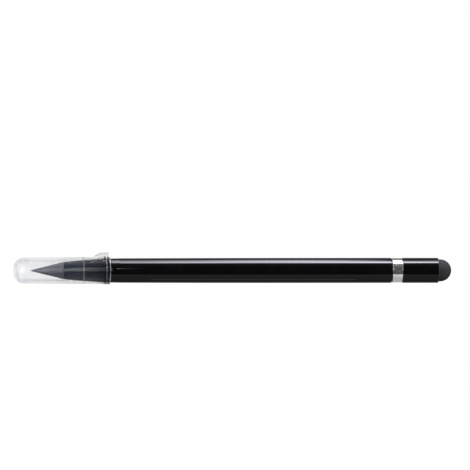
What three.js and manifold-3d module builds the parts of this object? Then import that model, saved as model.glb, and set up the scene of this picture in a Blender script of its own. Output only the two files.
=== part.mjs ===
// Inkless stylus pen. A slim aluminium barrel holds a graphite nib, which writes without ink, at one end
// and a soft stylus dome at the other, and a clear cap is pushed over the nib.
// Millimetres. The pen lies along X, nib towards -X and the cap's roll stop up (+Z), on the plane Z = 0.
// Every round piece is turned about X, with a facet facing straight down.

import * as THREE from 'three';
import { mergeVertices } from 'three/addons/utils/BufferGeometryUtils.js';
import Module from 'manifold-3d';

const wasm = await Module();
wasm.setup();

// How finely round shapes are cut into flats
const FACETS = 48;
const ARC_STEPS = 8;
const SMALL_ARC_STEPS = 3;

// Clearances between neighbours
const SEAM = 0.05;
const PRESS_GAP = 0.1;
const TURNING_GAP = 0.08;
const CAP_GAP = 0.12;
const CAP_GRIP_GAP = 0.04;
const CAP_SEAT_GAP = 0.15;
const DOME_GAP = 0.05;
const PLUG_SEAT_GAP = 0.25;

// Barrel: a drawn tube, straight behind and drawn in on one long arc towards the nib
const BARREL_LENGTH = 107.3;
const BARREL_RADIUS = 4;
const BARREL_FRONT_RADIUS = 2.8;
const BARREL_TAPER_LENGTH = 20.6;
const BARREL_WALL = 0.6;
const BARREL_REAR_ROUND = 0.4;

// Nib: a cone as wide as the barrel's front, with a ball point and a blind socket for its stud
const NIB_LENGTH = 10.6;
const NIB_BALL_RADIUS = 0.2;
const NIB_EDGE = 0.12;

// Stud: a plain shank fixed in the nib and a thread that screws into the bush
const STUD_SHANK_RADIUS = 1.1;
const STUD_SHANK_LENGTH = 4;
const STUD_THREAD_RADIUS = 1.5;
const STUD_THREAD_LENGTH = 4;
const STUD_EDGE = 0.3;

// Bush: a tapered insert wedged in the barrel's nose
const BUSH_LENGTH = 8;
const BUSH_RECESS = 0.3;
const BUSH_MOUTH = 0.3;

// Ring: a bright band a little slimmer than the barrel
const RING_LENGTH = 3.4;
const RING_STEP = 0.12;
const RING_EDGE = 0.12;

// Tail sleeve
const SLEEVE_LENGTH = 11.85;
const SLEEVE_RADIUS = 4.04;
const SLEEVE_WALL = 0.38;
const SLEEVE_FRONT_ROUND = 0.15;
const SLEEVE_CHAMFER = 0.2;

// Plug: joins the barrel, the ring and the sleeve
const PLUG_IN_BARREL = 9;
const PLUG_BORE_RADIUS = 2;
const PLUG_LEAD = 0.6;

// Stylus: a hollow round-ended dome on a grooved stub, standing a little out of the sleeve
const DOME_STAND = 0.69;
const DOME_WALL = 0.8;
const DOME_SKIRT = 5;
const DOME_RIB = 0.35;
const DOME_RIB_WIDTH = 1;
const DOME_RIB_INSET = 1.2;
const SEAT_COLLAR_LENGTH = 1.4;
const SEAT_STEM_LENGTH = 3;

// Cap: one clear moulding with a thin skirt over the barrel and a thicker nose round the nib
const CAP_SKIRT_LENGTH = 8.65;
const CAP_SKIRT_WALL = 0.35;
const CAP_NOSE_WALL = 0.8;
const CAP_END_WALL = 0.8;
const CAP_NIB_ROOM = 4.865;
const CAP_DRAFT = THREE.MathUtils.degToRad(0.55);
const CAP_NOSE_ROUND = 3.4;
const CAP_INNER_ROUND = 2.1;
const CAP_BEAD_LENGTH = 1.4;
const CAP_BEAD_RISE = 0.05;
const CAP_BEAD_LEAD = 0.1;
const CAP_MOUTH_ROUND = 0.35;
const CAP_MOUTH_FLARE = 0.2;
const CAP_GRIP_INSET = 1.7;
const CAP_GRIP_WIDTH = 0.6;

// Roll stop: a swept lug on the cap, just inside its mouth
const LUG_WIDTH = 2.2;
const LUG_HEIGHT = 1.45;
const LUG_LENGTH = 5.85;
const LUG_RAMP_LENGTH = 3.7;
const LUG_RAMP_EASE = 1.4;
const LUG_TOP_SLOPE = 0.07;
const LUG_UNDERCUT = 0.25;
const LUG_INSET = 0.4;
const LUG_EDGE = 0.2;

// A size that only has to reach past a surface that it cuts
const OVERCUT = 1;

// Places along the pen, measured from the nib's point
const barrelStart = NIB_LENGTH + SEAM;
const ringStart = barrelStart + BARREL_LENGTH + SEAM;
const sleeveStart = ringStart + RING_LENGTH + SEAM;
const sleeveEnd = sleeveStart + SLEEVE_LENGTH;
const domeStart = sleeveEnd - DOME_SKIRT;
const seatStart = domeStart - PRESS_GAP - SEAT_COLLAR_LENGTH - SEAT_STEM_LENGTH;
const plugStart = barrelStart + BARREL_LENGTH - PLUG_IN_BARREL;
const plugShoulder = sleeveStart + SEAM;
const plugEnd = seatStart + SEAT_STEM_LENGTH - PLUG_SEAT_GAP;

// Radii that neighbours share
const barrelBore = BARREL_RADIUS - BARREL_WALL;
const sleeveBore = SLEEVE_RADIUS - SLEEVE_WALL;
const domeRadius = sleeveBore - DOME_GAP;
const domeLength = DOME_SKIRT + DOME_STAND + domeRadius;
const penEnd = domeStart + domeLength;
const seatStubRadius = domeRadius - DOME_WALL - PRESS_GAP;
const capBore = BARREL_RADIUS + CAP_GAP;
const capMouthRadius = capBore + CAP_SKIRT_WALL;

// The cap slides on until its inner shoulder meets the barrel's taper
const taperDrop = BARREL_RADIUS - BARREL_FRONT_RADIUS;
const taperArcRadius = (BARREL_TAPER_LENGTH ** 2 + taperDrop ** 2) / (2 * taperDrop);
const capShoulderRadius = capMouthRadius - CAP_SKIRT_LENGTH * Math.tan(CAP_DRAFT) - CAP_NOSE_WALL;
const capSeat = barrelStart + taperPlace(capShoulderRadius - CAP_SEAT_GAP);
const capStart = -CAP_NIB_ROOM - CAP_END_WALL;
const capShoulder = capSeat - capStart;
const capLength = capShoulder + CAP_SKIRT_LENGTH;

// The lowest facet, and the bead's, touches the ground
const axisHeight = (capMouthRadius + CAP_BEAD_RISE) * Math.cos(Math.PI / FACETS);

// Radius of the barrel at a distance behind its front face
function taperRadius(x) {
  const ahead = Math.max(BARREL_TAPER_LENGTH - x, 0);
  return BARREL_RADIUS - taperArcRadius + Math.sqrt(taperArcRadius ** 2 - ahead ** 2);
}

// Distance behind the barrel's front face at which its taper has a radius
function taperPlace(radius) {
  const drop = BARREL_RADIUS - radius;
  return BARREL_TAPER_LENGTH - Math.sqrt(2 * taperArcRadius * drop - drop ** 2);
}

// Outer radius of the cap at a distance behind its nose
function capRadius(x) {
  return capMouthRadius - (capLength - x) * Math.tan(CAP_DRAFT);
}

// Points [x, radius] on an elliptical arc, with its angles in quarter turns from +x towards +radius
function arc(x, radius, lengthwise, across, from, to, steps = ARC_STEPS) {
  return Array.from({ length: steps + 1 }, (_, i) => {
    const angle = (from + (to - from) * i / steps) * Math.PI / 2;
    return [x + lengthwise * Math.cos(angle), radius + across * Math.sin(angle)];
  });
}

// Points [x, radius] along the barrel's taper, drawn in by a depth, between two distances behind its front
function taper(from, to, depth) {
  return Array.from({ length: ARC_STEPS + 1 }, (_, i) => {
    const x = from + (to - from) * i / ARC_STEPS;
    return [x, taperRadius(x) - depth];
  });
}

// A solid of revolution about X. The outline runs backwards along the outside, then forwards inside.
function turned(outline) {
  const points = outline.map(([x, radius]) => new THREE.Vector2(radius, x));
  const geometry = new THREE.LatheGeometry(points, FACETS, Math.PI / FACETS);
  return geometry.rotateZ(-Math.PI / 2);
}

// The same, for a tubular outline that closes on itself
function turnedTube(outline) {
  return turned([...outline, outline[0]]);
}

// A closed geometry as a solid that can be joined and cut
function toSolid(geometry) {
  const bare = geometry.clone();
  bare.deleteAttribute('normal');
  bare.deleteAttribute('uv');
  const merged = mergeVertices(bare.index ? bare.toNonIndexed() : bare);
  const corners = merged.index.array;
  const faces = [];
  for (let i = 0; i < corners.length; i += 3) {
    const face = [corners[i], corners[i + 1], corners[i + 2]];
    if (new Set(face).size === 3) faces.push(...face);
  }
  const vertProperties = new Float32Array(merged.attributes.position.array);
  const triVerts = new Uint32Array(faces);
  return new wasm.Manifold(new wasm.Mesh({ numProp: 3, vertProperties, triVerts }));
}

// A solid as a geometry
function toGeometry(solid) {
  const mesh = solid.getMesh();
  const geometry = new THREE.BufferGeometry();
  geometry.setAttribute('position', new THREE.BufferAttribute(mesh.vertProperties, 3));
  geometry.setIndex(new THREE.BufferAttribute(mesh.triVerts, 1));
  return geometry;
}

function nib() {
  const reach = NIB_LENGTH - NIB_BALL_RADIUS;
  const toRim = Math.hypot(reach, BARREL_FRONT_RADIUS);
  const halfAngle = Math.atan2(BARREL_FRONT_RADIUS, reach) - Math.asin(NIB_BALL_RADIUS / toRim);
  const ballEnd = 1 + halfAngle / (Math.PI / 2);
  const socket = STUD_SHANK_RADIUS + TURNING_GAP;
  const socketEnd = NIB_LENGTH - STUD_SHANK_LENGTH - PRESS_GAP;
  return turned([
    ...arc(NIB_BALL_RADIUS, 0, NIB_BALL_RADIUS, NIB_BALL_RADIUS, 2, ballEnd, SMALL_ARC_STEPS),
    [NIB_LENGTH - NIB_EDGE, BARREL_FRONT_RADIUS - NIB_EDGE * Math.tan(halfAngle)],
    [NIB_LENGTH, BARREL_FRONT_RADIUS - NIB_EDGE],
    [NIB_LENGTH, socket],
    [socketEnd, socket],
    [socketEnd, 0],
  ]);
}

function nibStud() {
  const length = STUD_SHANK_LENGTH + STUD_THREAD_LENGTH;
  return turned([
    [0, 0],
    [0, STUD_SHANK_RADIUS - STUD_EDGE],
    [STUD_EDGE, STUD_SHANK_RADIUS],
    [STUD_SHANK_LENGTH + SEAM, STUD_SHANK_RADIUS],
    [STUD_SHANK_LENGTH + SEAM, STUD_THREAD_RADIUS],
    [length - STUD_EDGE, STUD_THREAD_RADIUS],
    [length, STUD_THREAD_RADIUS - STUD_EDGE],
    [length, 0],
  ]);
}

function noseBush() {
  const bore = STUD_THREAD_RADIUS + TURNING_GAP;
  return turnedTube([
    [BUSH_RECESS, bore + BUSH_MOUTH],
    ...taper(BUSH_RECESS, BUSH_RECESS + BUSH_LENGTH, BARREL_WALL + PRESS_GAP),
    [BUSH_RECESS + BUSH_LENGTH, bore],
    [BUSH_RECESS + BUSH_MOUTH, bore],
  ]);
}

function barrel() {
  const straightEnd = BARREL_LENGTH - BARREL_REAR_ROUND;
  const shoulder = BARREL_RADIUS - BARREL_REAR_ROUND;
  return turnedTube([
    ...taper(0, BARREL_TAPER_LENGTH, 0),
    ...arc(straightEnd, shoulder, BARREL_REAR_ROUND, BARREL_REAR_ROUND, 1, 0, SMALL_ARC_STEPS),
    [BARREL_LENGTH, barrelBore],
    ...taper(BARREL_TAPER_LENGTH, 0, BARREL_WALL),
  ]);
}

function tailRing() {
  const outer = BARREL_RADIUS - RING_STEP;
  const bore = barrelBore;
  return turnedTube([
    [0, bore],
    [0, outer - RING_EDGE],
    [RING_EDGE, outer],
    [RING_LENGTH - RING_EDGE, outer],
    [RING_LENGTH, outer - RING_EDGE],
    [RING_LENGTH, bore],
  ]);
}

function tailSleeve() {
  const front = SLEEVE_RADIUS - SLEEVE_FRONT_ROUND;
  const round = SLEEVE_FRONT_ROUND;
  return turnedTube([
    [0, sleeveBore],
    ...arc(round, front, round, round, 2, 1, SMALL_ARC_STEPS),
    [SLEEVE_LENGTH - SLEEVE_CHAMFER, SLEEVE_RADIUS],
    [SLEEVE_LENGTH, SLEEVE_RADIUS - SLEEVE_CHAMFER],
    [SLEEVE_LENGTH, sleeveBore],
  ]);
}

// The plug starts inside the barrel, and its wide end lies in the sleeve behind the ring
function jointPlug() {
  const slim = barrelBore - PRESS_GAP;
  const wide = sleeveBore - PRESS_GAP;
  const step = plugShoulder - plugStart;
  const length = plugEnd - plugStart;
  return turnedTube([
    [0, PLUG_BORE_RADIUS],
    [0, slim - PLUG_LEAD],
    [PLUG_LEAD, slim],
    [step, slim],
    [step, wide],
    [length, wide],
    [length, PLUG_BORE_RADIUS],
  ]);
}

// Skirt and dome, with an inner rib that snaps into the seat's groove
function stylusDome() {
  const inner = domeRadius - DOME_WALL;
  const crownStart = DOME_SKIRT + DOME_STAND;
  const ribStart = DOME_RIB_INSET;
  const ribEnd = DOME_RIB_INSET + DOME_RIB_WIDTH;
  const outside = arc(crownStart, 0, domeRadius, domeRadius, 1, 0);
  const inside = arc(crownStart, 0, inner, inner, 0, 1);
  return turned([
    [crownStart + inner, 0],
    ...inside.slice(1),
    [ribEnd, inner],
    [ribEnd, inner - DOME_RIB],
    [ribStart, inner - DOME_RIB],
    [ribStart, inner],
    [0, inner],
    [0, domeRadius],
    ...outside.slice(0, -1),
    [domeLength, 0],
  ]);
}

// Stem in the plug, collar behind the dome's skirt, and a grooved stub inside the skirt
function stylusSeat() {
  const stem = PLUG_BORE_RADIUS - PRESS_GAP;
  const collar = domeRadius;
  const stubStart = SEAT_STEM_LENGTH + SEAT_COLLAR_LENGTH;
  const skirtStart = stubStart + PRESS_GAP;
  const grooveStart = skirtStart + DOME_RIB_INSET - PRESS_GAP;
  const grooveEnd = grooveStart + DOME_RIB_WIDTH + 2 * PRESS_GAP;
  const groove = seatStubRadius - DOME_RIB;
  const end = skirtStart + DOME_SKIRT;
  return turned([
    [0, 0],
    [0, stem],
    [SEAT_STEM_LENGTH, stem],
    [SEAT_STEM_LENGTH, collar],
    [stubStart, collar],
    [stubStart, seatStubRadius],
    [grooveStart, seatStubRadius],
    [grooveStart, groove],
    [grooveEnd, groove],
    [grooveEnd, seatStubRadius],
    [end, seatStubRadius],
    [end, 0],
  ]);
}

// Outside of the cap: blunt round nose, drafted wall and a low bead round the mouth
function capOutside() {
  const noseRadius = capRadius(CAP_NOSE_ROUND) - CAP_NOSE_ROUND;
  const beadStart = capLength - CAP_BEAD_LENGTH;
  const beadTop = capMouthRadius + CAP_BEAD_RISE;
  const mouthRound = CAP_MOUTH_ROUND;
  const mouthCentre = capLength - mouthRound;
  return turned([
    [0, 0],
    ...arc(CAP_NOSE_ROUND, noseRadius, CAP_NOSE_ROUND, CAP_NOSE_ROUND, 2, 1),
    [beadStart, capRadius(beadStart)],
    [beadStart + CAP_BEAD_LEAD, beadTop],
    ...arc(mouthCentre, beadTop - mouthRound, mouthRound, mouthRound, 1, 0, SMALL_ARC_STEPS),
    [capLength, 0],
  ]);
}

// Space inside the cap: chamber round the nib, shoulder, skirt bore, grip ring and flared mouth
function capInside() {
  const chamberStart = CAP_END_WALL + CAP_INNER_ROUND;
  const chamberRadius = capRadius(chamberStart) - CAP_NOSE_WALL;
  const endRadius = chamberRadius - CAP_INNER_ROUND;
  const gripRise = CAP_GAP - CAP_GRIP_GAP;
  const gripPlace = capLength - CAP_GRIP_INSET;
  const flareStart = capLength - CAP_MOUTH_ROUND;
  return turned([
    [CAP_END_WALL, 0],
    ...arc(chamberStart, endRadius, CAP_INNER_ROUND, CAP_INNER_ROUND, 2, 1),
    [capShoulder, capShoulderRadius],
    [capShoulder, capBore],
    [gripPlace - CAP_GRIP_WIDTH / 2, capBore],
    [gripPlace, capBore - gripRise],
    [gripPlace + CAP_GRIP_WIDTH / 2, capBore],
    [flareStart, capBore],
    [capLength, capBore + CAP_MOUTH_FLARE],
    [capLength + OVERCUT, capBore + CAP_MOUTH_FLARE],
    [capLength + OVERCUT, 0],
  ]);
}

// Side view of the lug, x along the pen and y up from its axis, swept up from the cap's wall
function lugOutline() {
  const end = capLength - LUG_INSET;
  const foot = end - LUG_LENGTH;
  const crest = foot + LUG_RAMP_LENGTH;
  const top = capRadius(end) + LUG_HEIGHT;
  const crestTop = top - (end - crest) * LUG_TOP_SLOPE;
  const footTop = capRadius(foot);
  const ease = LUG_RAMP_EASE;
  const outline = new THREE.Shape();
  outline.moveTo(foot, 0);
  outline.lineTo(end - LUG_UNDERCUT, 0);
  outline.lineTo(end - LUG_UNDERCUT, footTop);
  outline.lineTo(end, top);
  outline.lineTo(crest, crestTop);
  outline.bezierCurveTo(crest - ease, crestTop - ease * LUG_TOP_SLOPE, foot + ease, footTop, foot, footTop);
  outline.closePath();
  return outline;
}

function lug() {
  const geometry = new THREE.ExtrudeGeometry(lugOutline(), {
    depth: LUG_WIDTH - 2 * LUG_EDGE,
    curveSegments: ARC_STEPS,
    bevelSize: LUG_EDGE,
    bevelThickness: LUG_EDGE,
    bevelOffset: -LUG_EDGE,
    bevelSegments: 1,
  });
  geometry.translate(0, 0, LUG_EDGE - LUG_WIDTH / 2);
  return geometry.rotateX(Math.PI / 2);
}

function cap() {
  const body = toSolid(capOutside()).add(toSolid(lug()));
  return toGeometry(body.subtract(toSolid(capInside())));
}

// Finishes
const gloss = (color) => ({ color, roughness: 0.15, metalness: 0.2 });
const finishes = {
  clear: { color: 0xe4e8ec, roughness: 0.1, metalness: 0, transparent: true, opacity: 0.35 },
  graphite: { color: 0x45464a, roughness: 0.6, metalness: 0.2 },
  black: gloss(0x0b0a0e),
  chrome: { color: 0xd8dadd, roughness: 0.08, metalness: 1 },
  brass: { color: 0xb08d4a, roughness: 0.35, metalness: 1 },
  steel: { color: 0x9a9ca0, roughness: 0.35, metalness: 1 },
  moulding: { color: 0x2c2c30, roughness: 0.5, metalness: 0 },
  silicone: { color: 0x3c3b40, roughness: 0.75, metalness: 0 },
};

// Name, geometry, finish and distance behind the nib's point
const pieces = [
  ['cap', cap(), finishes.clear, capStart],
  ['nib', nib(), finishes.graphite, 0],
  ['nib_stud', nibStud(), finishes.steel, NIB_LENGTH - STUD_SHANK_LENGTH],
  ['nose_bush', noseBush(), finishes.brass, barrelStart],
  ['barrel', barrel(), finishes.black, barrelStart],
  ['joint_plug', jointPlug(), finishes.moulding, plugStart],
  ['tail_ring', tailRing(), finishes.chrome, ringStart],
  ['tail_sleeve', tailSleeve(), finishes.black, sleeveStart],
  ['stylus_seat', stylusSeat(), finishes.moulding, seatStart],
  ['stylus_dome', stylusDome(), finishes.silicone, domeStart],
];

const pen = new THREE.Group();
pen.position.set(-(capStart + penEnd) / 2, 0, axisHeight);
for (const [name, geometry, finish, place] of pieces) {
  const mesh = new THREE.Mesh(geometry, new THREE.MeshStandardMaterial(finish));
  mesh.name = name;
  mesh.position.x = place;
  pen.add(mesh);
}

export default pen;
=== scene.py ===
"""The looks of an inkless stylus pen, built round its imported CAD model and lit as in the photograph."""

import logging
import math
from dataclasses import dataclass, field
from enum import Enum
from functools import cached_property
from typing import Dict, Iterable, List, Optional, Sequence, Tuple

import bmesh
import bpy
from bmesh.types import BMEdge, BMesh, BMFace, BMVert
from bpy.types import Material, Node, NodeSocket, NodeTree, Object
from mathutils import Matrix, Vector


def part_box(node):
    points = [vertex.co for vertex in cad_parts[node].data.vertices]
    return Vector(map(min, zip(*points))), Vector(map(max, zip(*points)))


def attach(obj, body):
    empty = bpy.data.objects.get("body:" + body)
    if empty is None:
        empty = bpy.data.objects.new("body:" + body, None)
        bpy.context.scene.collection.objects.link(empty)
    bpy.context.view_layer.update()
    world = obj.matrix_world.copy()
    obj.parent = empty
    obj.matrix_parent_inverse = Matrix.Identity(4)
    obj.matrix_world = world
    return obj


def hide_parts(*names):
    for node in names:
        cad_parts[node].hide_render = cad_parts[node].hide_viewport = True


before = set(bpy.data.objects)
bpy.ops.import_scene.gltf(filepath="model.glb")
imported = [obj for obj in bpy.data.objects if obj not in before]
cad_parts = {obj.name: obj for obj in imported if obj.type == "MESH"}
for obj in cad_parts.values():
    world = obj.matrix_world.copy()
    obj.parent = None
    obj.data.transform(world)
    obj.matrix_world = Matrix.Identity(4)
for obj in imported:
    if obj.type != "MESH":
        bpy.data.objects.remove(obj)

LOG = logging.getLogger("pen")
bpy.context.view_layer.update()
MM = 0.001
AXIS = Vector((1.0, 0.0, 0.0))
CAD_SIDES = 48
INSCRIBED = math.cos(math.pi / CAD_SIDES)

Tint = Tuple[float, float, float]
Point = Tuple[float, float, float]
Colour = Tuple[float, float, float, float]
Span = Tuple[float, float]
Stops = Sequence[Span]


class Body(Enum):
    """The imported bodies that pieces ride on."""

    BARREL = "barrel"
    CAP = "cap"
    STUD = "nib_stud"
    NIB = "nib"


class Fineness(Enum):
    """Sides of a turned piece."""

    SMALL = 64
    WHOLE = 144


def grey(level: float, tint: Tint = (1.0, 1.0, 1.0)) -> Colour:
    """Returns a linear grey, leaning towards a tint, as a shader colour."""
    return (level * tint[0], level * tint[1], level * tint[2], 1.0)


# Turned shapes, in millimetres until they are settled

HOOP_REACH = 1.5
MERGE_WITHIN = 1e-4
SLIVER = 1e-6
TOLERANCE = 1e-3


class Outline:
    """A wire in the plane y = 0, which is turned about the x axis into a closed piece."""

    def __init__(self, x: float, radius: float) -> None:
        """Starts the wire.

        Args:
            x: Distance along the pen.
            radius: Distance from the pen's axis.
        """
        self.bm: BMesh = bmesh.new()
        self.first: BMVert = self.bm.verts.new((x, 0.0, radius))
        self.last: BMVert = self.first
        self.eased: float = 0.0
        self.rounds: List[Tuple[float, float, float, int]] = []

    def grow(self, to: Vector) -> None:
        """Draws the wire on to a point.

        Args:
            to: The point.
        """
        grown = bmesh.ops.extrude_vert_indiv(self.bm, verts=[self.last])
        self.last = grown["verts"][0]
        bmesh.ops.translate(self.bm, verts=[self.last], vec=to - self.last.co)

    def line(self, x: float, radius: float, edge: float = 0.0, steps: int = 4) -> "Outline":
        """Draws a straight stretch, and notes whether its end is an edge to be rounded.

        A rounded edge gets a hoop close to it on either side, so that its shading ends there.

        Args:
            x: End of the stretch along the pen.
            radius: Its distance from the axis.
            edge: Width of the rounding that the turned edge gets, or 0 for none.
            steps: Segments of that rounding.

        Returns:
            The outline itself.
        """
        end = Vector((x, 0.0, radius))
        if self.eased > 0.0:
            self.grow(self.last.co + (end - self.last.co).normalized() * HOOP_REACH * self.eased)
        if edge > 0.0:
            self.grow(end + (self.last.co - end).normalized() * HOOP_REACH * edge)
            self.rounds.append((x, radius, edge, steps))
        self.grow(end)
        self.eased = edge
        return self

    def arc(self, centre: Span, degrees: float, steps: int) -> None:
        """Draws an arc from the wire's end about a centre, clockwise as seen with x to the right.

        Args:
            centre: The arc's centre, as distance along the pen and from the axis.
            degrees: Angle that the arc turns through.
            steps: Its segments.
        """
        swept = bmesh.ops.spin(self.bm, geom=[self.last], cent=(centre[0], 0.0, centre[1]),
                               axis=(0.0, 1.0, 0.0), angle=math.radians(degrees), steps=steps,
                               use_duplicate=False)
        self.last = next(e for e in swept["geom_last"] if isinstance(e, BMVert))
        self.eased = 0.0

    def turned(self, fineness: Fineness = Fineness.WHOLE, closed: bool = False) -> BMesh:
        """Turns the wire about the axis, merges its seam and poles and rounds the noted edges.

        Args:
            fineness: Number of sides.
            closed: Whether the wire's end is joined to its start first.

        Returns:
            The closed shell.
        """
        if closed:
            self.bm.edges.new((self.last, self.first))
        bmesh.ops.spin(self.bm, geom=self.bm.verts[:] + self.bm.edges[:], cent=(0.0, 0.0, 0.0), axis=AXIS,
                       angle=2.0 * math.pi, steps=fineness.value, use_merge=True)
        bmesh.ops.remove_doubles(self.bm, verts=self.bm.verts[:], dist=MERGE_WITHIN)
        bmesh.ops.dissolve_degenerate(self.bm, edges=self.bm.edges[:], dist=SLIVER)
        face_outward(self.bm)
        for x, radius, edge, steps in self.rounds:
            soften(self.bm, hoops(self.bm, x, radius), edge, steps)
        return self.bm


def face_outward(bm: BMesh) -> None:
    """Turns all faces of a closed shape outward.

    Args:
        bm: The shape, whose doubles are merged.
    """
    bmesh.ops.recalc_face_normals(bm, faces=bm.faces[:])
    if bm.calc_volume(signed=True) < 0.0:
        bmesh.ops.reverse_faces(bm, faces=bm.faces[:])


def soften(bm: BMesh, edges: List[BMEdge], width: float, steps: int) -> None:
    """Rounds edges.

    Args:
        bm: The shape.
        edges: The edges to be rounded.
        width: Width of the rounding on either side.
        steps: Its segments.
    """
    bmesh.ops.bevel(bm, geom=edges, offset=width, offset_type="OFFSET", segments=steps, profile=0.5,
                    affect="EDGES", material=-1)


def hoops(bm: BMesh, x: float, radius: float) -> List[BMEdge]:
    """Finds the edges of a turned piece that run round it at one place.

    Args:
        bm: The piece.
        x: Place along the pen.
        radius: Distance from the axis.

    Returns:
        The edges of that hoop.
    """
    def on_hoop(v: BMVert) -> bool:
        """Tells whether a vertex lies on the hoop."""
        return abs(v.co.x - x) < MERGE_WITHIN and abs(math.hypot(v.co.y, v.co.z) - radius) < TOLERANCE

    return [e for e in bm.edges if on_hoop(e.verts[0]) and on_hoop(e.verts[1])]


@dataclass(frozen=True)
class Place:
    """Where the pen lies in the row frame, in metres, read off the CAD nodes."""

    tip: float = field(default_factory=lambda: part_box("nib")[0].x)
    height: float = field(default_factory=lambda: (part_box("barrel")[0].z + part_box("barrel")[1].z) / 2.0)

    def settle(self, bm: BMesh, start: float) -> None:
        """Moves a piece from millimetres on its own axis to its place in the row frame.

        Args:
            bm: The piece, with the pen's axis as its x axis.
            start: Where its x = 0 lies along the row frame's x axis.
        """
        bmesh.ops.scale(bm, verts=bm.verts[:], vec=(MM, MM * INSCRIBED, MM * INSCRIBED))
        bmesh.ops.translate(bm, verts=bm.verts[:], vec=(start, 0.0, self.height))


def link_mesh(name: str, bm: BMesh, finish: Material) -> Object:
    """Puts a shape into the scene.

    Args:
        name: Name of the object and of its mesh.
        bm: The shape, in metres. It is freed.
        finish: Its material.

    Returns:
        The object.
    """
    mesh = bpy.data.meshes.new(name)
    bm.to_mesh(mesh)
    bm.free()
    mesh.materials.append(finish)
    made = bpy.data.objects.new(name, mesh)
    bpy.context.scene.collection.objects.link(made)
    return made


@dataclass(frozen=True)
class Piece:
    """A piece of the visual model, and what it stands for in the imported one."""

    name: str
    body: Body
    node: str
    slot: str
    sharp_over: float = 32.0

    def make(self, bm: BMesh, place: Place, finish: Material) -> None:
        """Settles a shape as this piece, smooth but for edges over the sharp angle.

        Args:
            bm: The shape, in millimetres from the node's front end. It is freed.
            place: Where the pen lies.
            finish: Its material.
        """
        place.settle(bm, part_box(self.node)[0].x)
        piece = link_mesh(self.name, bm, finish)
        piece.data.shade_smooth()
        piece.data.set_sharp_from_angle(angle=math.radians(self.sharp_over))
        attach(piece, self.body.value)
        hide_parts(self.node)
        LOG.info("%s: %d faces, rides on %s", self.name, len(piece.data.polygons), self.body.value)


# Node sheets and shared effects

COLOUR_MIX_INPUTS = (0, 6, 7)
NOISE_RANGE = (0.3, 0.7)
ALONG_THE_PEN = (0.05, 1.0, 1.0)


class Sheet:
    """A node tree with short ways to place and join nodes."""

    def __init__(self, tree: NodeTree) -> None:
        """Empties a tree and keeps it."""
        self.tree = tree
        tree.nodes.clear()

    @staticmethod
    def inputs(made: Node) -> Dict[str, NodeSocket]:
        """Returns a node's inputs by name, with underscores for spaces, and the first of each name."""
        return {s.name.replace(" ", "_"): s for s in reversed(made.inputs) if s.enabled}

    def node(self, kind: str, **settings: object) -> Node:
        """Places a node.

        Args:
            kind: Its Blender type.
            **settings: Attributes, values and links of inputs, by name with underscores for spaces.

        Returns:
            The node.
        """
        made = self.tree.nodes.new(kind)
        named = self.inputs(made)
        fed = {key: value for key, value in settings.items() if key in named or not hasattr(made, key)}
        for key, value in settings.items():
            if key not in fed:
                setattr(made, key, value)
        named = self.inputs(made)
        for key, value in fed.items():
            self.feed(named[key], value)
        return made

    def feed(self, socket: NodeSocket, value: object) -> None:
        """Links another node's socket to an input, or sets its value.

        Args:
            socket: The input.
            value: The other socket, or the value.
        """
        if isinstance(value, NodeSocket):
            self.tree.links.new(value, socket)
        else:
            socket.default_value = value

    def math(self, operation: str, *values: object, clamp: bool = False) -> NodeSocket:
        """Places a Math node.

        Args:
            operation: Its operation.
            *values: Its inputs, in order.
            clamp: Whether the result is kept between 0 and 1.

        Returns:
            Its result.
        """
        made = self.node("ShaderNodeMath", operation=operation, use_clamp=clamp)
        for socket, value in zip(made.inputs, values):
            self.feed(socket, value)
        return made.outputs[0]

    def times(self, a: object, b: object) -> NodeSocket:
        """Multiplies two values."""
        return self.math("MULTIPLY", a, b)

    def span(self, value: object, low: float, high: float, to_low: float = 0.0, to_high: float = 1.0,
             kind: str = "SMOOTHSTEP") -> NodeSocket:
        """Maps a value from one range to another, clamped, with soft ends unless another kind is named."""
        made = self.node("ShaderNodeMapRange", interpolation_type=kind, Value=value, From_Min=low,
                         From_Max=high, To_Min=to_low, To_Max=to_high)
        return made.outputs["Result"]

    def ramp(self, value: object, stops: Stops) -> NodeSocket:
        """Places a curve of greys over a value between 0 and 1.

        Args:
            value: The value.
            stops: Pairs of place and grey.

        Returns:
            The grey.
        """
        made = self.node("ShaderNodeValToRGB", Fac=value)
        points = made.color_ramp.elements
        while len(points) > 1:
            points.remove(points[-1])
        points[0].position, points[0].color = stops[0][0], grey(stops[0][1])
        for place, level in stops[1:]:
            points.new(place).color = grey(level)
        return made.outputs["Color"]

    def mix(self, share: object, a: object, b: object, blend: str = "MIX") -> NodeSocket:
        """Mixes two colours.

        Args:
            share: Share of the second one.
            a: The first colour.
            b: The second colour.
            blend: How the second one is laid over the first.

        Returns:
            The mixed colour.
        """
        made = self.node("ShaderNodeMix", data_type="RGBA", blend_type=blend)
        for index, value in zip(COLOUR_MIX_INPUTS, (share, a, b)):
            self.feed(made.inputs[index], value)
        return made.outputs[2]

    def either(self, share: object, first: Node, second: Node) -> Node:
        """Mixes two shaders.

        Args:
            share: Share of the second one.
            first: Node of the first shader.
            second: Node of the second shader.

        Returns:
            The Mix Shader node.
        """
        made = self.node("ShaderNodeMixShader", Fac=share)
        self.feed(made.inputs[1], first.outputs[0])
        self.feed(made.inputs[2], second.outputs[0])
        return made

    def noise(self, vector: NodeSocket, scale: object, **settings: object) -> NodeSocket:
        """Places a Noise node and returns its value."""
        return self.node("ShaderNodeTexNoise", Vector=vector, Scale=scale, **settings).outputs["Fac"]

    def split(self, vector: NodeSocket) -> Tuple[NodeSocket, ...]:
        """Takes a vector apart into x, y and z."""
        return tuple(self.node("ShaderNodeSeparateXYZ", Vector=vector).outputs)

    def coordinates(self, kind: str) -> NodeSocket:
        """Returns one of the texture coordinates: Object, Normal or Generated."""
        return self.node("ShaderNodeTexCoord").outputs[kind]


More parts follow.
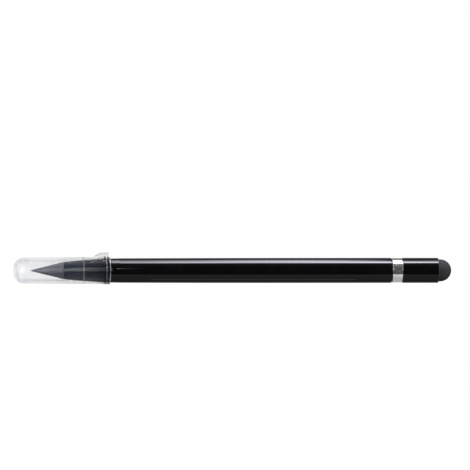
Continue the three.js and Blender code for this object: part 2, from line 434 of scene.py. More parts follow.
def begin_group(name: str, values: Dict[str, float], results: Sequence[str]
                ) -> Tuple[Sheet, Dict[str, NodeSocket], Dict[str, NodeSocket]]:
    """Starts a shader node group that takes a Vector and some values.

    Args:
        name: The group's name.
        values: Default of each value that it takes, by name.
        results: Names of the values that it puts out.

    Returns:
        The group's sheet, what it is given and what it puts out, both by name.
    """
    tree = bpy.data.node_groups.new(name, "ShaderNodeTree")
    sheet = Sheet(tree)
    tree.interface.new_socket("Vector", in_out="INPUT", socket_type="NodeSocketVector")
    for label, default in values.items():
        taken = tree.interface.new_socket(label, in_out="INPUT", socket_type="NodeSocketFloat")
        taken.default_value = default
    for label in results:
        tree.interface.new_socket(label, in_out="OUTPUT", socket_type="NodeSocketFloat")
    given, put = tree.nodes.new("NodeGroupInput").outputs, tree.nodes.new("NodeGroupOutput").inputs
    return sheet, {s.name: s for s in given if s.name}, {s.name: s for s in put if s.name}


class Effects:
    """The effects that several finishes share, each a node group that is built once."""

    @cached_property
    def turned_marks(self) -> NodeTree:
        """Fine rings that a lathe or a grinding wheel leaves round a piece.

        Returns:
            A group of Vector, Per metre and Breaks, which puts out Mark and Sheen.
        """
        sheet, given, put = begin_group("Turned marks", {"Per metre": 6000.0, "Breaks": 0.3},
                                        ("Mark", "Sheen"))
        x, y, z = sheet.split(given["Vector"])
        around = sheet.times(sheet.math("ARCTAN2", y, z), given["Breaks"])
        along = sheet.times(x, given["Per metre"])
        bent = sheet.node("ShaderNodeCombineXYZ", X=along, Y=around, Z=0.0).outputs[0]
        fine = sheet.noise(bent, 1.0, noise_dimensions="2D", Detail=3.0, Roughness=0.65)
        broad = sheet.noise(bent, 0.09, noise_dimensions="2D", Detail=2.0, Roughness=0.5)
        sheet.feed(put["Mark"], fine)
        sheet.feed(put["Sheen"], sheet.span(broad, *NOISE_RANGE))
        return sheet.tree

    @cached_property
    def handling(self) -> NodeTree:
        """Faint smears and hairline scratches of a piece that has been handled.

        Returns:
            A group of Vector, Per metre and Amount, which puts out Smear, Scratch and Ripple.
        """
        sheet, given, put = begin_group("Handling", {"Per metre": 120.0, "Amount": 1.0},
                                        ("Smear", "Scratch", "Ripple"))
        here, per_metre, amount = given["Vector"], given["Per metre"], given["Amount"]
        smear = sheet.noise(here, per_metre, Detail=5.0, Roughness=0.6, Distortion=0.8)
        drawn = sheet.node("ShaderNodeMapping", Vector=here, Scale=ALONG_THE_PEN, Rotation=(0.0, 0.0, 0.06))
        thin = sheet.noise(drawn.outputs[0], sheet.times(per_metre, 60.0), Detail=2.0)
        ripple = sheet.noise(here, sheet.times(per_metre, 14.0), Detail=1.0)
        scratch = sheet.span(thin, low=0.66, high=0.78)
        gate = sheet.span(smear, low=0.45, high=0.7)
        sheet.feed(put["Smear"], sheet.times(gate, amount))
        sheet.feed(put["Scratch"], sheet.times(sheet.times(scratch, gate), amount))
        sheet.feed(put["Ripple"], ripple)
        return sheet.tree

    @cached_property
    def grain(self) -> NodeTree:
        """Even grain of a moulded, sintered or rubbery surface, with sparse specks.

        Returns:
            A group of Vector, Per metre and Specks, which puts out Grain and Speck.
        """
        sheet, given, put = begin_group("Grain", {"Per metre": 9000.0, "Specks": 0.1}, ("Grain", "Speck"))
        here, per_metre = given["Vector"], given["Per metre"]
        fine = sheet.noise(here, per_metre, Detail=2.0, Roughness=0.7)
        cells = sheet.node("ShaderNodeTexVoronoi", Vector=here, Scale=sheet.times(per_metre, 0.7),
                           Randomness=1.0)
        chosen = sheet.node("ShaderNodeSeparateColor", Color=cells.outputs["Color"])
        kept = sheet.math("LESS_THAN", chosen.outputs[0], given["Specks"])
        near = sheet.span(cells.outputs["Distance"], low=0.35, high=0.1)
        sheet.feed(put["Grain"], fine)
        sheet.feed(put["Speck"], sheet.times(kept, near))
        return sheet.tree


@dataclass
class Dressing:
    """A material while it is built: its sheet, its shader and the pen-centred coordinates."""

    name: str
    effects: Effects
    place: Place

    def __post_init__(self) -> None:
        """Makes the material with a Principled shader and a mapping that is centred on the pen's axis."""
        self.material: Material = bpy.data.materials.new(self.name)
        self.material.use_nodes = True
        self.sheet = Sheet(self.material.node_tree)
        self.shader = self.sheet.node("ShaderNodeBsdfPrincipled")
        self.output = self.sheet.node("ShaderNodeOutputMaterial", Surface=self.shader.outputs[0])
        centred = self.sheet.node("ShaderNodeMapping", Vector=self.sheet.coordinates("Object"),
                                  Location=(0.0, 0.0, -self.place.height))
        self.here: NodeSocket = centred.outputs[0]

    def plain(self, **sockets: object) -> None:
        """Sets or links sockets of the shader, by name with underscores for spaces."""
        for key, value in sockets.items():
            self.sheet.feed(self.shader.inputs[key.replace("_", " ")], value)

    def effect(self, group: NodeTree, **inputs: float) -> Dict[str, NodeSocket]:
        """Places a shared effect at the piece's coordinates.

        Args:
            group: The effect.
            **inputs: Values of its inputs, by name with underscores for spaces.

        Returns:
            What the group puts out, by name.
        """
        made = self.sheet.node("ShaderNodeGroup", node_tree=group)
        self.sheet.feed(made.inputs["Vector"], self.here)
        for key, value in inputs.items():
            made.inputs[key.replace("_", " ")].default_value = value
        return {s.name: s for s in made.outputs}

    def bumps(self, *layers: Tuple[NodeSocket, float]) -> None:
        """Feeds the shader's normal from heights.

        Args:
            *layers: Pairs of a height and its depth in metres, finest last.
        """
        normal: Optional[NodeSocket] = None
        for height, depth in layers:
            bump = self.sheet.node("ShaderNodeBump", Height=height, Distance=depth)
            if normal is not None:
                self.sheet.feed(bump.inputs["Normal"], normal)
            normal = bump.outputs["Normal"]
        self.sheet.feed(self.shader.inputs["Normal"], normal)


# Finishes


@dataclass(frozen=True)
class Finish:
    """What every finish has: its material's name, and the way from a begun material to a done one."""

    name: str

    def material(self, effects: Effects, place: Place) -> Material:
        """Builds the material.

        Args:
            effects: The shared effects.
            place: Where the pen lies.

        Returns:
            The material.
        """
        made = Dressing(self.name, effects, place)
        self.dress(made)
        return made.material

    def dress(self, made: Dressing) -> None:
        """Gives a begun material its looks, which each finish does in its own way."""
        raise NotImplementedError


@dataclass(frozen=True)
class GlossLacquer(Finish):
    """High-gloss black lacquer on the barrel and the tail sleeve."""

    name: str = "gloss_black_lacquer"
    depth: Colour = (0.0016, 0.0013, 0.0022, 1.0)
    haze: Colour = (0.0034, 0.0030, 0.0042, 1.0)
    # Lighter grey of the sleeve's rear rim, a painted highlight
    rim_highlight: Colour = (0.075, 0.074, 0.080, 1.0)
    rim_from: float = 0.22 * MM
    rim_full: float = 0.16 * MM
    roughness: Span = (0.035, 0.075)

    def dress(self, made: Dressing) -> None:
        """Builds the lacquer: near black, with a painted highlight on its rear rim, a faint ripple and
        dulling smears.

        Args:
            made: The begun material.
        """
        sheet = made.sheet
        wear = made.effect(made.effects.handling, Per_metre=130.0, Amount=1.0)
        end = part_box("tail_sleeve")[1].x
        # Painted highlight: the sleeve's chamfered rear rim is coloured a lighter grey, as if lit.
        rim = sheet.span(sheet.split(made.here)[0], end - self.rim_from, end - self.rim_full)
        gloss = sheet.mix(wear["Smear"], self.depth, self.haze)
        made.plain(Base_Color=sheet.mix(rim, gloss, self.rim_highlight),
                   Roughness=sheet.span(wear["Smear"], 0.0, 1.0, *self.roughness), Specular_IOR_Level=0.23)
        made.bumps((wear["Ripple"], 4e-7), (wear["Scratch"], 3e-7))


@dataclass(frozen=True)
class BrightChrome(Finish):
    """Mirror-bright plating on the tail ring."""

    name: str = "bright_chrome"
    tone: Colour = (0.75, 0.755, 0.77, 1.0)
    worn: Colour = (0.68, 0.685, 0.705, 1.0)
    roughness: Span = (0.05, 0.11)

    def dress(self, made: Dressing) -> None:
        """Builds the chrome: metal with the traces of turning under the plating.

        Args:
            made: The begun material.
        """
        sheet = made.sheet
        marks = made.effect(made.effects.turned_marks, Per_metre=9000.0, Breaks=0.4)
        wear = made.effect(made.effects.handling, Per_metre=400.0, Amount=0.8)
        made.plain(Base_Color=sheet.mix(wear["Smear"], self.tone, self.worn), Metallic=1.0,
                   Roughness=sheet.span(marks["Sheen"], 0.0, 1.0, *self.roughness))
        made.bumps((marks["Mark"], 6e-7), (wear["Scratch"], 5e-7))


@dataclass(frozen=True)
class ClearPlastic(Finish):
    """Clear, faintly milky moulding of the cap.

    Its wall is so thin that most light goes straight on, and light that only casts shadows all does.
    Its stops are in millimetres in front of the mouth, but those of the facing shares are in the shader's
    own measure of how far the wall turns away.
    """

    name: str = "clear_cap_plastic"
    tone: Colour = (0.90, 0.905, 0.91, 1.0)
    veil: Colour = (0.956, 0.954, 0.953, 1.0)
    straight: Colour = (0.970, 0.9675, 0.9668, 1.0)
    milk: Colour = (0.50, 0.62, 0.92, 1.0)
    # Paler milk of the painted highlight lines
    painted_line_milk: Colour = (0.84, 0.85, 0.88, 1.0)
    painted_lines_from: Span = (0.05, 0.1)
    roughness: Span = (0.02, 0.05)
    mouth_reach: float = 10.0
    # Painted shade: dark rings at the mouth's ribs, by millimetres in front of the mouth
    rib_shades: Stops = ((10.0, 1.0), (5.0, 1.0), (3.5, 0.93), (1.85, 0.88), (1.80, 0.3), (1.48, 0.3),
                         (1.43, 1.0), (1.1, 1.0), (1.05, 0.64), (0.38, 0.64), (0.33, 1.0))
    rib_shares: Stops = ((10.0, 1.0), (8.95, 1.0), (8.85, 0.85), (8.5, 0.85), (8.4, 1.0), (1.43, 1.0),
                         (1.38, 0.5), (1.15, 0.5), (1.1, 1.0), (0.3, 1.0), (0.2, 0.2))
    # Milk by millimetres in front of the mouth: a faint real cloudiness, raised into painted highlight lines
    # at the shoulder, the bead's front and the lip
    milk_and_painted_lines: Stops = ((10.0, 0.032), (8.95, 0.032), (8.88, 0.12), (8.5, 0.12), (8.42, 0.018), (1.43, 0.018),
                        (1.38, 0.12), (1.15, 0.12), (1.1, 0.015), (0.3, 0.015), (0.2, 0.15))
    facing_shares: Stops = ((0.0, 0.95), (0.25, 0.94), (0.4, 0.9), (0.6, 0.86), (1.0, 0.82))
    nose_share: float = 0.9
    nose_reach: float = 1.5 * MM
    lug_from: float = 4.56 * MM
    lug_fade: float = 0.1 * MM
    # Painted shade of the lug's sides, of its crest where it faces up, and of the underside away from the
    # mouth
    lug_body: float = 0.90
    lug_crest: float = 0.5
    crest_upward: Span = (0.15, 0.45)
    underside: float = 0.935
    underside_from: Span = (-2.3 * MM, -3.6 * MM)
    underside_ends: Span = (0.08, 0.0)

    def dress(self, made: Dressing) -> None:
        """Builds the plastic: refracting, straight-through and milky, with flow marks and hairline scratches.

        Args:
            made: The begun material.
        """
        sheet = made.sheet
        flow = made.effect(made.effects.handling, Per_metre=160.0, Amount=1.0)
        drawn = sheet.node("ShaderNodeMapping", Vector=made.here, Scale=ALONG_THE_PEN)
        lines = sheet.noise(drawn.outputs[0], 1800.0, Detail=2.0)
        made.plain(Base_Color=sheet.mix(flow["Smear"], self.tone, self.veil),
                   Roughness=sheet.span(flow["Smear"], 0.0, 1.0, *self.roughness),
                   Transmission_Weight=0.996, IOR=1.46)
        made.bumps((lines, 3e-7), (flow["Scratch"], 2e-7))
        shadow_ray = sheet.node("ShaderNodeLightPath").outputs["Is Shadow Ray"]
        clean = sheet.mix(flow["Smear"], self.straight, self.veil)
        # The light that goes straight on is darkened by painted shade at the ribs, the lug and the underside
        straight = sheet.node("ShaderNodeBsdfTransparent",
                              Color=sheet.mix(1.0, clean, self.painted_shade(made), "MULTIPLY"))
        share = sheet.math("MAXIMUM", shadow_ray, self.straight_share(made))
        clear = sheet.either(share, made.shader, straight)
        # Painted highlight lines: the diffuse milk rises and turns paler at the shoulder, the bead's front
        # and the lip, over a faint real cloudiness
        milk_and_line_share = self.by_mouth(made, self.milk_and_painted_lines)
        milk = sheet.node("ShaderNodeBsdfDiffuse",
                          Color=sheet.mix(sheet.span(milk_and_line_share, *self.painted_lines_from), self.milk, self.painted_line_milk))
        whole = sheet.either(sheet.times(milk_and_line_share, sheet.math("SUBTRACT", 1.0, shadow_ray)), clear, milk)
        sheet.feed(made.output.inputs["Surface"], whole.outputs[0])

    def near_mouth(self, made: Dressing) -> NodeSocket:
        """Measures how near a place lies to the cap's mouth.

        Args:
            made: The begun material.

        Returns:
            The measure, from 0 at the reach to 1 at the mouth.
        """
        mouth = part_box("cap")[1].x
        along = made.sheet.split(made.here)[0]
        return made.sheet.span(along, mouth - self.mouth_reach * MM, mouth, kind="LINEAR")

    def by_mouth(self, made: Dressing, stops: Stops) -> NodeSocket:
        """Gives a grey that depends on the distance in front of the mouth.

        Args:
            made: The begun material.
            stops: Pairs of that distance in millimetres, farthest first, and a grey.

        Returns:
            The grey.
        """
        shares = [(1.0 - distance / self.mouth_reach, level) for distance, level in stops]
        return made.sheet.ramp(self.near_mouth(made), shares)

    def straight_share(self, made: Dressing) -> NodeSocket:
        """Tells what share of the light goes straight through: less at the lines of the mouth and the nose.

        Args:
            made: The begun material.

        Returns:
            The share.
        """
        sheet = made.sheet
        facing = sheet.node("ShaderNodeLayerWeight", Blend=0.5).outputs["Facing"]
        share = sheet.times(sheet.ramp(facing, self.facing_shares), self.by_mouth(made, self.rib_shares))
        tip = made.place.tip
        nose = sheet.span(sheet.split(made.here)[0], tip, tip - self.nose_reach, 1.0, self.nose_share)
        return sheet.times(share, nose)

    def painted_shade(self, made: Dressing) -> NodeSocket:
        """Paints shade on the light that goes straight on: at the mouth's ribs, the lug, its crest and the
        underside.

        Args:
            made: The begun material.

        Returns:
            A grey that is white where no shade is painted, and darker where it is.
        """
        sheet = made.sheet
        height = sheet.split(made.here)[2]
        upward = sheet.split(sheet.coordinates("Normal"))[2]
        lug = sheet.span(height, self.lug_from, self.lug_from + self.lug_fade)
        top = sheet.span(upward, *self.crest_upward)
        body = sheet.mix(lug, self.by_mouth(made, self.rib_shades), grey(self.lug_body))
        crest = sheet.mix(sheet.times(lug, top), body, grey(self.lug_crest))
        low = sheet.times(sheet.span(height, *self.underside_from),
                          sheet.span(self.near_mouth(made), *self.underside_ends))
        return sheet.mix(1.0, crest, sheet.mix(low, grey(1.0), grey(self.underside)), "MULTIPLY")


@dataclass(frozen=True)
class GraphiteComposite(Finish):
    """Dark grey writing composite of the nib."""

    name: str = "graphite_composite"
    body: Colour = (0.038, 0.040, 0.047, 1.0)
    bright: Colour = (0.080, 0.084, 0.097, 1.0)
    ring_share: float = 0.5
    speck_share: float = 0.6
    roughness: Span = (0.46, 0.62)

    def dress(self, made: Dressing) -> None:
        """Builds the composite: ground rings, a fine grain and sparse metallic specks.

        Args:
            made: The begun material.
        """
        sheet = made.sheet
        marks = made.effect(made.effects.turned_marks, Per_metre=7000.0, Breaks=0.8)
        grain = made.effect(made.effects.grain, Per_metre=11000.0, Specks=0.22)
        tone = sheet.math("ADD", sheet.times(marks["Mark"], self.ring_share),
                          sheet.times(grain["Speck"], self.speck_share), clamp=True)
        made.plain(Base_Color=sheet.mix(tone, self.body, self.bright), Metallic=0.25,
                   Roughness=sheet.span(grain["Grain"], *NOISE_RANGE, *self.roughness))
        made.bumps((marks["Mark"], 3e-6), (grain["Grain"], 2e-6))


@dataclass(frozen=True)
class MattSilicone(Finish):
    """Soft dark silicone of the stylus dome."""

    name: str = "matt_silicone"
    body: Colour = (0.054, 0.049, 0.058, 1.0)
    dusty: Colour = (0.078, 0.073, 0.082, 1.0)
    roughness: Span = (0.72, 0.86)

    def dress(self, made: Dressing) -> None:
        """Builds the silicone: velvety, with a fine moulded grain and a trace of dust.

        Args:
            made: The begun material.
        """
        sheet = made.sheet
        grain = made.effect(made.effects.grain, Per_metre=7000.0, Specks=0.05)
        wear = made.effect(made.effects.handling, Per_metre=300.0, Amount=0.6)
        tone = sheet.math("MAXIMUM", wear["Smear"], grain["Speck"])
        made.plain(Base_Color=sheet.mix(tone, self.body, self.dusty), Specular_IOR_Level=0.13,
                   Roughness=sheet.span(grain["Grain"], *NOISE_RANGE, *self.roughness))
        made.bumps((grain["Grain"], 3e-6))


@dataclass(frozen=True)
class MachinedMetal(Finish):
    """Steel or brass left as it came off the lathe."""

    light: Colour
    dark: Colour
    roughness: Span = (0.22, 0.42)

    def dress(self, made: Dressing) -> None:
        """Builds the metal: turned rings in colour, gloss and relief.

        Args:
            made: The begun material.
        """
        sheet = made.sheet
        marks = made.effect(made.effects.turned_marks, Per_metre=5000.0, Breaks=0.5)
        made.plain(Base_Color=sheet.mix(marks["Sheen"], self.dark, self.light), Metallic=1.0,
                   Roughness=sheet.span(marks["Mark"], *NOISE_RANGE, *self.roughness))
        made.bumps((marks["Mark"], 3e-6))


@dataclass(frozen=True)
class InnerMoulding(Finish):
    """Plain dark plastic of the pieces inside the tail."""

    name: str = "inner_moulding"
    body: Colour = (0.028, 0.028, 0.030, 1.0)
    rubbed: Colour = (0.050, 0.050, 0.052, 1.0)
    roughness: Span = (0.45, 0.65)

    def dress(self, made: Dressing) -> None:
        """Builds the plastic: a spark-eroded grain, paler where it has rubbed.

        Args:
            made: The begun material.
        """
        sheet = made.sheet
        grain = made.effect(made.effects.grain, Per_metre=5000.0, Specks=0.03)
        wear = made.effect(made.effects.handling, Per_metre=250.0, Amount=0.8)
        made.plain(Base_Color=sheet.mix(wear["Smear"], self.body, self.rubbed),
                   Roughness=sheet.span(grain["Grain"], *NOISE_RANGE, *self.roughness))
        made.bumps((grain["Grain"], 4e-6))


# Sub-assemblies, with sizes in millimetres


@dataclass
class WritingEnd:
    """The nib and the threaded stud that screws it into the barrel."""

    place: Place
    composite: Material
    steel: Material
    length: float = 10.6
    base_radius: float = 2.8
    ball_radius: float = 0.2
    ball_steps: int = 8
    edge: float = 0.12
    socket_radius: float = 1.18
    socket_depth: float = 4.1
    socket_edge: float = 0.1
    shank_radius: float = 1.1
    shank_length: float = 4.0
    core_radius: float = 1.24
    core_gap: float = 0.05
    stud_edge: float = 0.25
    crest_radius: float = 1.49
    root_sink: float = 0.03
    thread_length: float = 4.0
    run_in: float = 0.3
    run_out: float = 0.35
    pitch: float = 0.5
    half_ridge: float = 0.46
    steps_per_turn: int = 40

    def nib(self) -> None:
        """Turns the cone, its ball point and the socket in its base."""
        reach = self.length - self.ball_radius
        to_rim = math.hypot(reach, self.base_radius)
        slope = math.atan2(self.base_radius, reach) - math.asin(self.ball_radius / to_rim)
        outline = Outline(0.0, 0.0)
        outline.arc((self.ball_radius, 0.0), 90.0 - math.degrees(slope), self.ball_steps)
        outline.line(self.length, self.base_radius, self.edge, 3)
        outline.line(self.length, self.socket_radius, self.socket_edge, 2)
        outline.line(self.length - self.socket_depth, self.socket_radius)
        outline.line(self.length - self.socket_depth, 0.0)
        Piece("nib_cone", Body.NIB, "nib", "graphite").make(outline.turned(), self.place, self.composite)

    def stud(self) -> None:
        """Turns the stud's shank and core, and winds its thread round them."""
        start = self.shank_length + self.core_gap
        end = self.shank_length + self.thread_length
        outline = Outline(0.0, 0.0).line(0.0, self.shank_radius, self.stud_edge, 2)
        outline.line(start, self.shank_radius).line(start, self.core_radius)
        outline.line(end, self.core_radius, self.stud_edge, 2).line(end, 0.0)
        bm = outline.turned(Fineness.SMALL)
        self.wind_thread(bm, self.shank_length + self.run_in, end - self.run_out)
        Piece("threaded_stud", Body.STUD, "nib_stud", "steel").make(bm, self.place, self.steel)

    def wind_thread(self, bm: BMesh, start: float, end: float) -> None:
        """Adds the thread's ridge as a wound wedge.

        Args:
            bm: The stud.
            start: Where the thread begins.
            end: Where it ends.
        """
        half = self.pitch * self.half_ridge
        turns = (end - start - 2.0 * half) / self.pitch
        root = self.core_radius - self.root_sink
        section = ((start, root), (start + half, self.crest_radius), (start + 2.0 * half, root))
        wedge = bm.faces.new([bm.verts.new((x, 0.0, radius)) for x, radius in section])
        before = set(bm.faces)
        swept = bmesh.ops.spin(bm, geom=[wedge] + wedge.edges[:] + wedge.verts[:], cent=(0.0, 0.0, 0.0),
                               axis=AXIS, dvec=(self.pitch / self.steps_per_turn, 0.0, 0.0),
                               angle=2.0 * math.pi * turns, steps=int(turns * self.steps_per_turn),
                               use_duplicate=False)
        ridge = [f for f in bm.faces if f not in before or f == wedge]
        ridge += [g for g in swept["geom_last"] if isinstance(g, BMFace) and g not in ridge]
        bmesh.ops.recalc_face_normals(bm, faces=ridge)


@dataclass
class Barrel:
    """The drawn barrel: nearly straight, then drawn in on one long arc to the nib."""

    place: Place
    lacquer: Material
    length: float = 107.3
    radius: float = 4.09
    swell: float = 0.1
    swell_length: float = 60.0
    swell_steps: int = 10
    front_radius: float = 2.8
    taper_length: float = 20.6
    taper_steps: int = 40
    bore_steps: int = 24
    wall: float = 0.6
    rear_round: float = 0.4
    edge: float = 0.06

    def build(self) -> None:
        """Turns the tube from its outline and rounds its two ends."""
        full = self.radius - self.swell
        drop = full - self.front_radius
        swing = (self.taper_length ** 2 + drop ** 2) / (2.0 * drop)
        angle = math.degrees(math.asin(self.taper_length / swing))
        bore = full - self.wall
        outline = Outline(0.0, self.front_radius - self.wall)
        outline.line(0.0, self.front_radius, self.edge, 3)
        outline.arc((self.taper_length, full - swing), angle, self.taper_steps)
        for step in range(1, self.swell_steps + 1):
            share = step / self.swell_steps
            swollen = self.radius - self.swell * (1.0 - share) ** 2
            outline.line(self.taper_length + self.swell_length * share, swollen)
        outline.line(self.length, self.radius, self.rear_round, 6)
        outline.line(self.length, bore, self.edge, 2).line(self.taper_length, bore)
        outline.arc((self.taper_length, bore - swing), -angle, self.bore_steps)
        tube = Piece("barrel_tube", Body.BARREL, "barrel", "black_lacquer")
        tube.make(outline.turned(), self.place, self.lacquer)


@dataclass
class TailEnd:
    """The chrome ring, the tail sleeve and the stylus dome."""

    place: Place
    chrome: Material
    lacquer: Material
    silicone: Material
    bore: float = 3.4
    ring_radius: float = 3.97
    ring_length: float = 3.4
    ring_edge: float = 0.22
    sleeve_radius: float = 4.09
    sleeve_bore: float = 3.66
    sleeve_length: float = 11.85
    sleeve_front: float = 0.15
    sleeve_chamfer: float = 0.2
    chamfer_edge: float = 0.05
    rim_edge: float = 0.04
    dome_radius: float = 3.61
    dome_wall: float = 0.8
    dome_skirt: float = 5.0
    dome_stand: float = 0.69
    dome_steps: int = 28
    dome_inner_steps: int = 20
    skirt_edge: float = 0.1
    rib: float = 0.35
    rib_start: float = 1.2
    rib_width: float = 1.0

    def ring(self) -> None:
        """Turns the ring, with rounded rims."""
        outline = Outline(0.0, self.bore)
        for x in (0.0, self.ring_length):
            outline.line(x, self.ring_radius, self.ring_edge, 4)
        outline.line(self.ring_length, self.bore)
        ring = Piece("chrome_ring", Body.BARREL, "tail_ring", "chrome")
        ring.make(outline.turned(closed=True), self.place, self.chrome)

    def sleeve(self) -> None:
        """Turns the sleeve, with a rounded front rim and a chamfered rear one."""
        outline = Outline(0.0, self.sleeve_bore)
        outline.line(0.0, self.sleeve_radius, self.sleeve_front, 4)
        outline.line(self.sleeve_length - self.sleeve_chamfer, self.sleeve_radius, self.chamfer_edge, 2)
        outline.line(self.sleeve_length, self.sleeve_radius - self.sleeve_chamfer, self.rim_edge, 2)
        outline.line(self.sleeve_length, self.sleeve_bore, self.rim_edge, 2)
        sleeve = Piece("sleeve_tube", Body.BARREL, "tail_sleeve", "black_lacquer")
        sleeve.make(outline.turned(closed=True), self.place, self.lacquer)

    def dome(self) -> None:
        """Turns the dome, its skirt and the rib that snaps into the seat's groove."""
        inner = self.dome_radius - self.dome_wall
        crown = self.dome_skirt + self.dome_stand
        rib_end = self.rib_start + self.rib_width
        outline = Outline(crown + inner, 0.0)
        outline.arc((crown, 0.0), -90.0, self.dome_inner_steps)
        outline.line(rib_end, inner).line(rib_end, inner - self.rib)
        outline.line(self.rib_start, inner - self.rib).line(self.rib_start, inner).line(0.0, inner)
        outline.line(0.0, self.dome_radius, self.skirt_edge, 2).line(crown, self.dome_radius)
        outline.arc((crown, 0.0), 90.0, self.dome_steps)
        dome = Piece("silicone_dome", Body.BARREL, "stylus_dome", "silicone")
        dome.make(outline.turned(), self.place, self.silicone)


@dataclass
class Cap:
    """The clear cap, one moulding with its inner step, grip ring, bead and roll-stop lug."""

    place: Place
    plastic: Material
    length: float = 31.442
    mouth_radius: float = 4.47
    draft: float = math.radians(0.55)
    nose_round: float = 3.4
    nose_steps: int = 24
    end_wall: float = 0.8
    inner_round: float = 2.1
    inner_steps: int = 18
    nose_wall: float = 0.8
    shoulder: float = 22.792
    shoulder_radius: float = 3.587
    shoulder_edge: float = 0.2
    bore: float = 4.12
    bead_length: float = 1.4
    bead_rise: float = 0.05
    bead_lead: float = 0.1
    mouth_round: float = 0.35
    mouth_steps: int = 8
    mouth_flare: float = 0.2
    grip_inset: float = 1.7
    grip_width: float = 0.6
    grip_rise: float = 0.08
    soft_edge: float = 0.03
    clear_of_bead: float = 0.02
    clear_of_lead: float = 0.1
    lug_half_steps: int = 6
    lug_length: float = 5.85
    lug_height: float = 1.45
    lug_inset: float = 0.4
    lug_ramp: float = 3.7
    lug_slope: float = 0.07
    lug_flattening: float = 2.2
    lug_undercut: float = 0.25
    lug_rear: float = 0.6
    lug_edge: float = 0.22
    lug_edge_over: float = 0.12
    lug_edge_angle: float = math.radians(50.0)
    lug_edge_upright: float = 0.75
    rounded_from: int = 3
    outside_over: float = 4.15
    ramp_stations: int = 10

    def wall_radius(self, x: float) -> float:
        """Returns the drafted wall's outer radius at a distance behind the nose."""
        return self.mouth_radius - (self.length - x) * math.tan(self.draft)

    def lug_stations(self) -> List[float]:
        """Works out where the lug's side view has a corner or a step.

        Returns:
            The places along the wall, from the foot of the ramp to the rear face.
        """
        end = self.length - self.lug_inset
        foot = end - self.lug_length
        ramp = [foot + self.lug_ramp * i / self.ramp_stations for i in range(self.ramp_stations + 1)]
        return ramp + [end - self.lug_undercut - self.lug_rear, end - self.lug_undercut]

    def lug_top(self, x: float) -> Span:
        """Gives the lug's height and flatness at a place.

        Args:
            x: Distance behind the nose.

        Returns:
            Its rise over the wall, and how flat it is across, from 0 for the wall's own curve to 1.
        """
        end = self.length - self.lug_inset
        foot = end - self.lug_length
        crest = foot + self.lug_ramp
        top = self.wall_radius(end) + self.lug_height
        share = min(max((x - foot) / self.lug_ramp, 0.0), 1.0)
        swept = share * share * (3.0 - 2.0 * share)
        full = top - (end - max(x, crest)) * self.lug_slope
        return (full - self.wall_radius(x)) * swept, min(1.0, share * self.lug_flattening)

    def shell(self) -> BMesh:
        """Turns the cap's outside and inside as one closed wall.

        Returns:
            The shell.
        """
        outline = Outline(0.0, 0.0)
        self.draw_outside(outline)
        self.draw_inside(outline)
        return outline.turned()

    def draw_outside(self, outline: Outline) -> None:
        """Draws the nose, the drafted wall and the bead, with a hoop at each station of the lug.

        Args:
            outline: The wire, which starts at the nose.
        """
        steep = math.tan(2.0 * self.draft)
        nose_radius = self.wall_radius(self.nose_round) - self.nose_round
        bead_start = self.length - self.bead_length
        bead_full = bead_start + self.bead_lead
        bead_end = self.length - self.mouth_round
        bead_top = self.mouth_radius + self.bead_rise
        bead_foot = bead_top - (bead_end - bead_full) * steep
        outline.line(0.0, nose_radius)
        outline.arc((self.nose_round, nose_radius), 90.0, self.nose_steps)
        for x in (s for s in self.lug_stations() if s < bead_start - self.clear_of_bead):
            outline.line(x, self.wall_radius(x))
        outline.line(bead_start, self.wall_radius(bead_start), self.soft_edge, 2)
        outline.line(bead_full, bead_foot, self.soft_edge, 2)
        for x in (s for s in self.lug_stations() if s > bead_full + self.clear_of_lead):
            outline.line(x, bead_foot + (x - bead_full) * steep)
        outline.line(bead_end, bead_top)
        outline.arc((bead_end, bead_top - self.mouth_round), 90.0, self.mouth_steps)

    def draw_inside(self, outline: Outline) -> None:
        """Draws the flared mouth, the grip ring, the stepped bore and the nose's chamber.

        Args:
            outline: The wire, which has reached the mouth.
        """
        steep = math.tan(2.0 * self.draft)
        mouth = self.length - self.mouth_round
        grip = self.length - self.grip_inset
        grip_rear, grip_front = grip + self.grip_width / 2.0, grip - self.grip_width / 2.0
        for x, radius in ((self.length, self.bore + self.mouth_flare),
                          (mouth, self.bore + (mouth - grip_rear) * steep),
                          (grip_rear, self.bore), (grip, self.bore - self.grip_rise), (grip_front, self.bore),
                          (self.shoulder, self.bore - (grip_front - self.shoulder) * steep)):
            outline.line(x, radius, self.soft_edge, 2)
        outline.line(self.shoulder, self.shoulder_radius, self.shoulder_edge, 4)
        inner_start = self.end_wall + self.inner_round
        chamber = self.wall_radius(inner_start) - self.nose_wall
        outline.line(inner_start, chamber)
        outline.arc((inner_start, chamber - self.inner_round), -90.0, self.inner_steps)
        outline.line(self.end_wall, 0.0)

    def raise_lug(self, bm: BMesh) -> None:
        """Draws the lug out of the wall, shapes its side view and rounds its upper edges.

        Args:
            bm: The turned cap.
        """
        stations = self.lug_stations()
        foot, back = stations[0], stations[-1]
        patch = [f for f in bm.faces if self.on_patch(f, foot, back)]
        grown = bmesh.ops.extrude_face_region(bm, geom=patch)
        raised = [g for g in grown["geom"] if isinstance(g, BMVert)]
        left = [f for f in patch if f.is_valid]
        if left:
            bmesh.ops.delete(bm, geom=left, context="FACES_ONLY")
        for station in sorted({round(v.co.x, 4) for v in raised}):
            self.lift(bm, [v for v in raised if abs(v.co.x - station) < TOLERANCE], station)
        rear = [v for v in raised if abs(v.co.x - back) < TOLERANCE]
        bmesh.ops.translate(bm, verts=rear, vec=(self.lug_undercut, 0.0, 0.0))
        bmesh.ops.remove_doubles(bm, verts=bm.verts[:], dist=MERGE_WITHIN)
        face_outward(bm)
        chosen = self.upper_edges(bm, stations[self.rounded_from], back + self.lug_undercut)
        soften(bm, chosen, self.lug_edge, 4)

